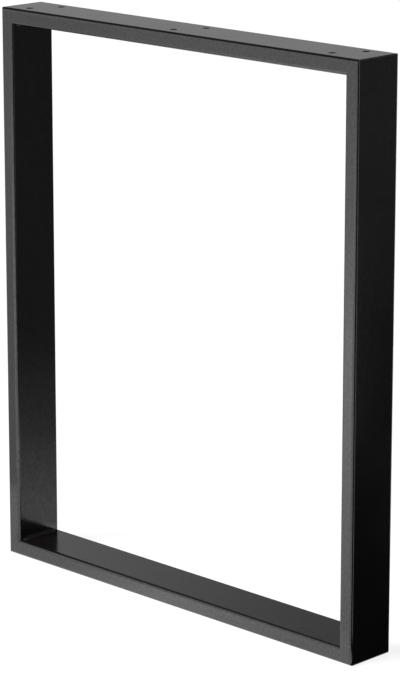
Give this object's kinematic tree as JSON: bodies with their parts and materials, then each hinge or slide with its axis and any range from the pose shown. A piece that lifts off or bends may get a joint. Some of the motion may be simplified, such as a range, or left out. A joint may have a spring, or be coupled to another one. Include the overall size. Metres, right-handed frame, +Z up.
{
  "type": "closed frame table leg",
  "caption": "Closed rectangular table leg frame of flat steel tube, mitred and welded, with staggered screw holes in its top rail for fixing under a table top.",
  "frame": {"origin": "on the floor, under the middle of the frame", "axes": "+X along the rails, +Y through the depth of the tube towards the back, +Z up towards the table top"},
  "size_m": [0.6, 0.07, 0.72],
  "materials": {
    "powder_coat": "satin black powder coat on steel tube"
  },
  "bodies": {
    "root": {"top_rail": "powder_coat", "bottom_rail": "powder_coat", "left_post": "powder_coat", "right_post": "powder_coat", "weld_bottom_left": "powder_coat", "weld_bottom_right": "powder_coat", "weld_top_left": "powder_coat", "weld_top_right": "powder_coat"}
  },
  "joints": []
}
